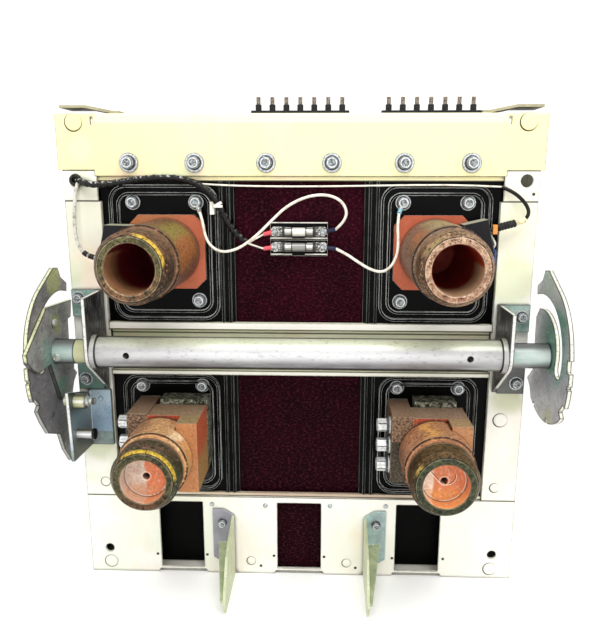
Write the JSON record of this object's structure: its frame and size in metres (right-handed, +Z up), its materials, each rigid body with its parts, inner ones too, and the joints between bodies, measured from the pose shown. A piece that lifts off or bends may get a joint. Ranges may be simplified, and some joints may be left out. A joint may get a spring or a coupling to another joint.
{
  "type": "draw-out dc circuit breaker",
  "caption": "Draw-out direct-current circuit breaker: painted steel frame, moulded pole barriers, hollow round copper contacts and a racking shaft whose slotted end cams turn.",
  "frame": {"origin": "middle of the body's underside, where the chassis rests on the floor, halfway between contact side and front sheet", "axes": "+Z up; -Y points out of the contact side, along the round contacts; +X is to the right when facing the contact side"},
  "size_m": [0.606, 0.5704, 0.6235],
  "materials": {
    "cream_paint": "gloss cream enamel, chipped at edges",
    "plated_steel": "dull zinc plate",
    "black_moulding": "moulded, semi-gloss",
    "maroon_board": "speckled laminate",
    "chute_board": "moulded arc chute board",
    "mechanism_steel": "grey paint",
    "copper": "tarnished copper",
    "bright_tube": "bright plated tube",
    "yellow_zinc": "yellow passivated zinc",
    "blue_zinc": "blue-white zinc",
    "pin_moulding": "moulded strip with metal pins",
    "fuse_ceramic": "fuse tube in metal clips",
    "tinned_lug": "tinned ring terminal",
    "cream_insulation": "cable insulation",
    "black_sleeve": "wrapped sleeve"
  },
  "bodies": {
    "frame": {"top_rail": "cream_paint", "rail_lip": "cream_paint", "corner_gussets": "cream_paint", "right_post": "cream_paint", "left_post": "cream_paint", "cross_channel": "cream_paint", "chassis_rear": "cream_paint", "chassis_floor": "cream_paint", "sill_strip": "cream_paint", "side_plates": "cream_paint", "front_panel": "cream_paint", "front_cover": "cream_paint", "lifting_ears": "plated_steel", "right_pole_barrier": "black_moulding", "left_pole_barrier": "black_moulding", "centre_board": "maroon_board", "lower_boards": "black_moulding", "pole_housings": "black_moulding", "arc_chutes": "chute_board", "mechanism_housing": "mechanism_steel", "right_upper_terminal": "copper", "left_upper_terminal": "copper", "right_lower_terminal": "copper", "left_lower_terminal": "copper", "right_bus_bar": "copper", "left_bus_bar": "copper", "right_bearing_bracket": "yellow_zinc", "left_bearing_bracket": "yellow_zinc", "interlock_bracket": "blue_zinc", "interlock_studs": "blue_zinc", "shutter_ramps": "plated_steel", "pin_strips": "pin_moulding", "fuse_base": "black_moulding", "fuse_links": "fuse_ceramic", "sensors": "black_moulding", "lead_lugs": "tinned_lug", "left_fuse_lead": "cream_insulation", "right_fuse_lead": "cream_insulation", "harness": "black_sleeve", "harness_tails": "black_sleeve", "lip_wire": "cream_insulation", "right_sensor_lead": "black_sleeve", "left_sensor_lead": "black_sleeve"},
    "racking_shaft": {"racking_tube": "bright_tube", "right_racking_cam": "yellow_zinc", "left_racking_cam": "yellow_zinc", "racking_lever": "yellow_zinc"}
  },
  "joints": [
    {"name": "racking", "type": "hinge", "parent": "frame", "child": "racking_shaft", "pos_m": [0, -0.245, 0.326], "axis": [1, 0, 0], "range_deg": [0, 147]}
  ]
}
